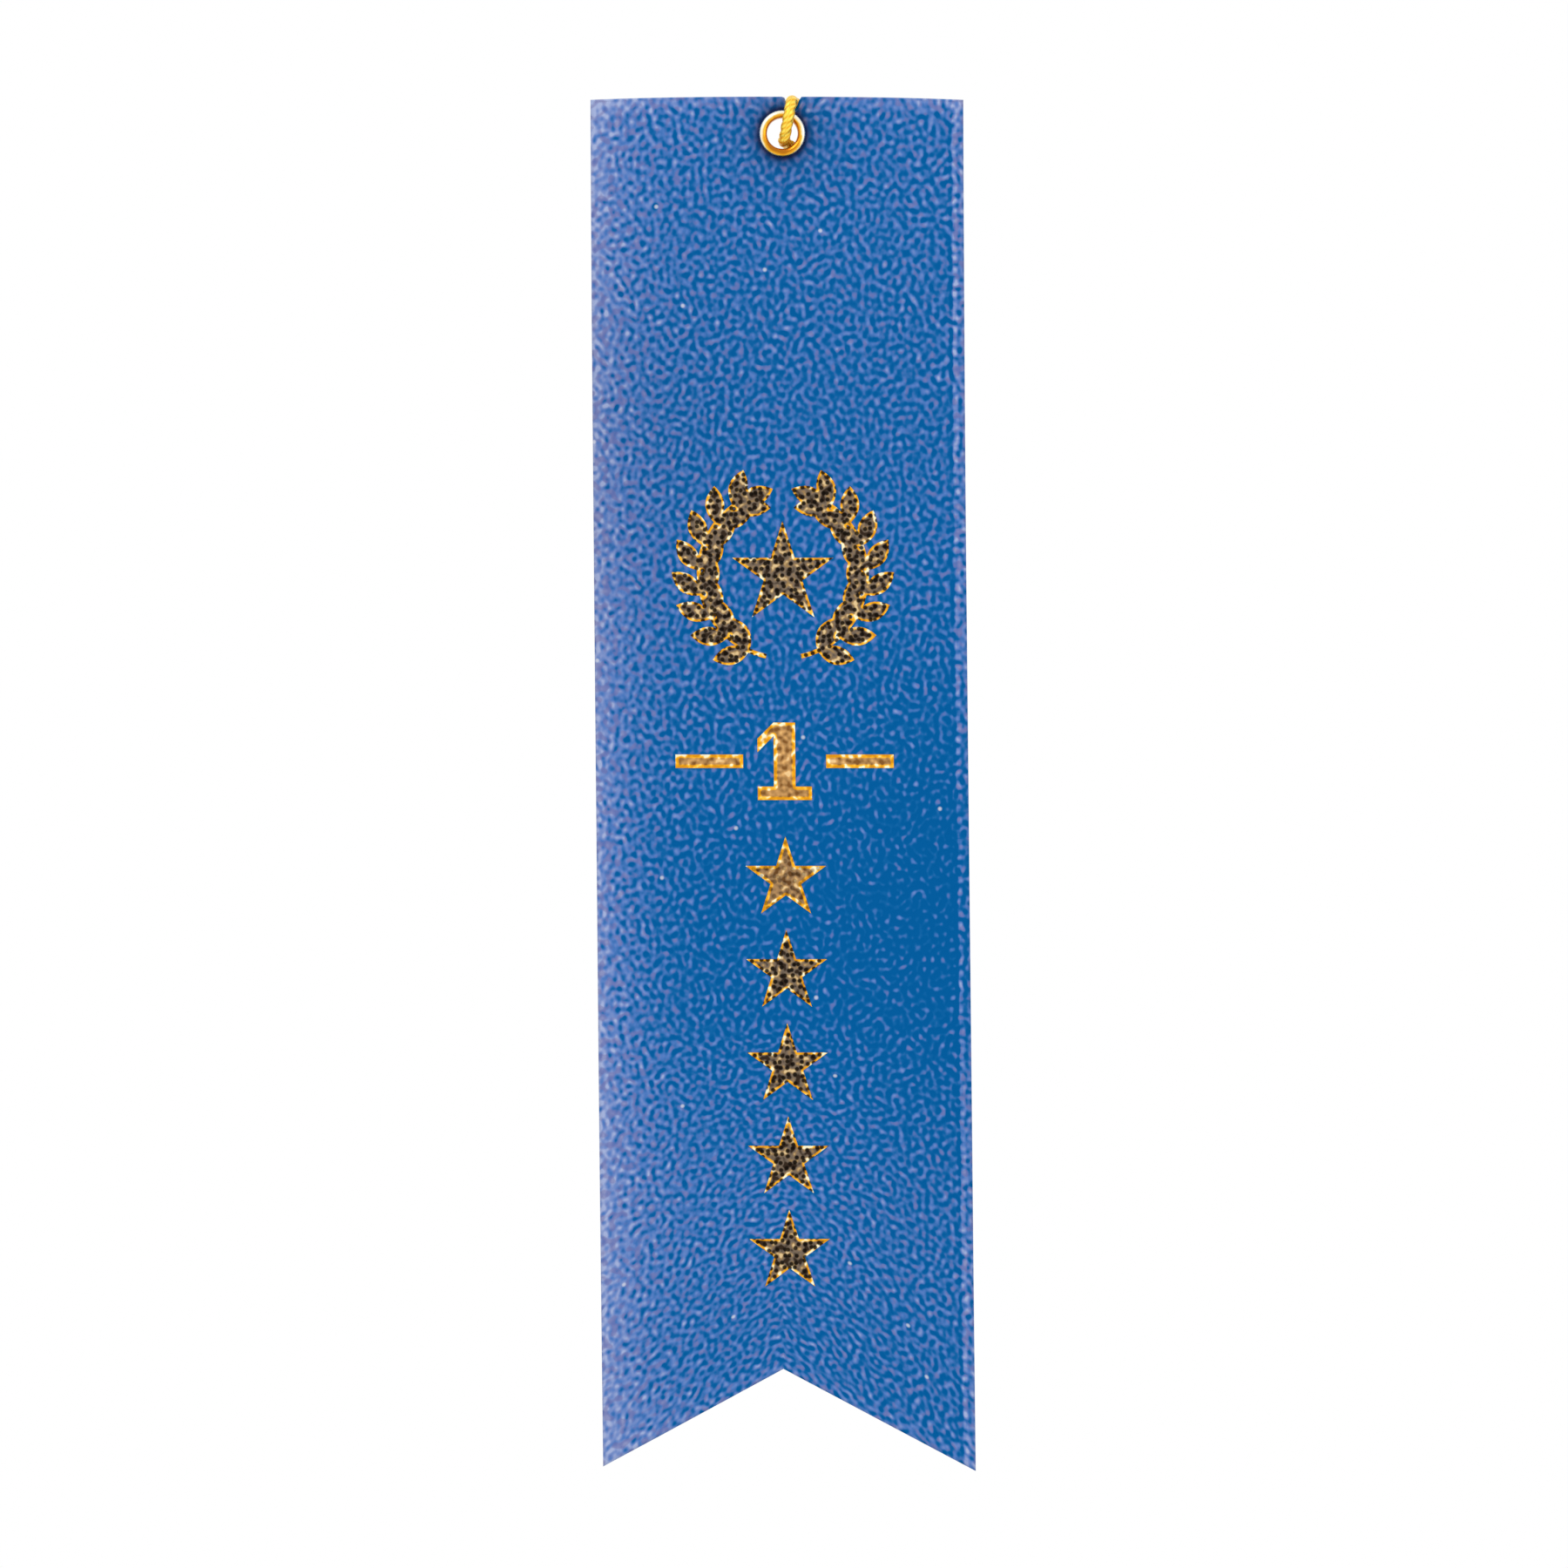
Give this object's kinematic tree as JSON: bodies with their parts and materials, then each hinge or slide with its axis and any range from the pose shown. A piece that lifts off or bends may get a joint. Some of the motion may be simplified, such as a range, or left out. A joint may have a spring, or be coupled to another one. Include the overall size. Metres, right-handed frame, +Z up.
{
  "type": "award ribbon",
  "caption": "Flat satin award ribbon with a folded top, brass eyelet, knotted hanging cord, a foil wreath, stars and figure 1, and a swallowtail foot.",
  "frame": {"origin": "centre of the eyelet, on the plane of the ribbon's front face, with the ribbon hanging upright", "axes": "+Z up along the ribbon towards the fold, +X to the right seen from the front, +Y out of the back, so the face with the foil looks towards -Y"},
  "size_m": [0.0414, 0.007, 0.1528],
  "materials": {
    "satin": "woven blue acetate satin with a soft sheen and a fine crepe grain",
    "brass": "bright rolled brass",
    "cord": "twisted metallic gold thread",
    "foil": "hot-stamped gold foil that takes the grain of the satin"
  },
  "bodies": {
    "ribbon": {"ribbon": "satin", "eyelet": "brass", "cord_turn": "cord", "cord_knot": "cord", "foil_star": "foil", "foil_branch_left": "foil", "foil_branch_right": "foil", "foil_numeral": "foil", "foil_rule_left": "foil", "foil_rule_right": "foil", "foil_star_1": "foil", "foil_star_2": "foil", "foil_star_3": "foil", "foil_star_4": "foil", "foil_star_5": "foil"},
    "cord_loop": {"cord_loop": "cord"}
  },
  "joints": [
    {"name": "cord_swing", "type": "hinge", "parent": "ribbon", "child": "cord_loop", "pos_m": [0.003, 0.00305, 0.0023], "axis": [1, 0, 0], "range_deg": [0, 180]}
  ]
}
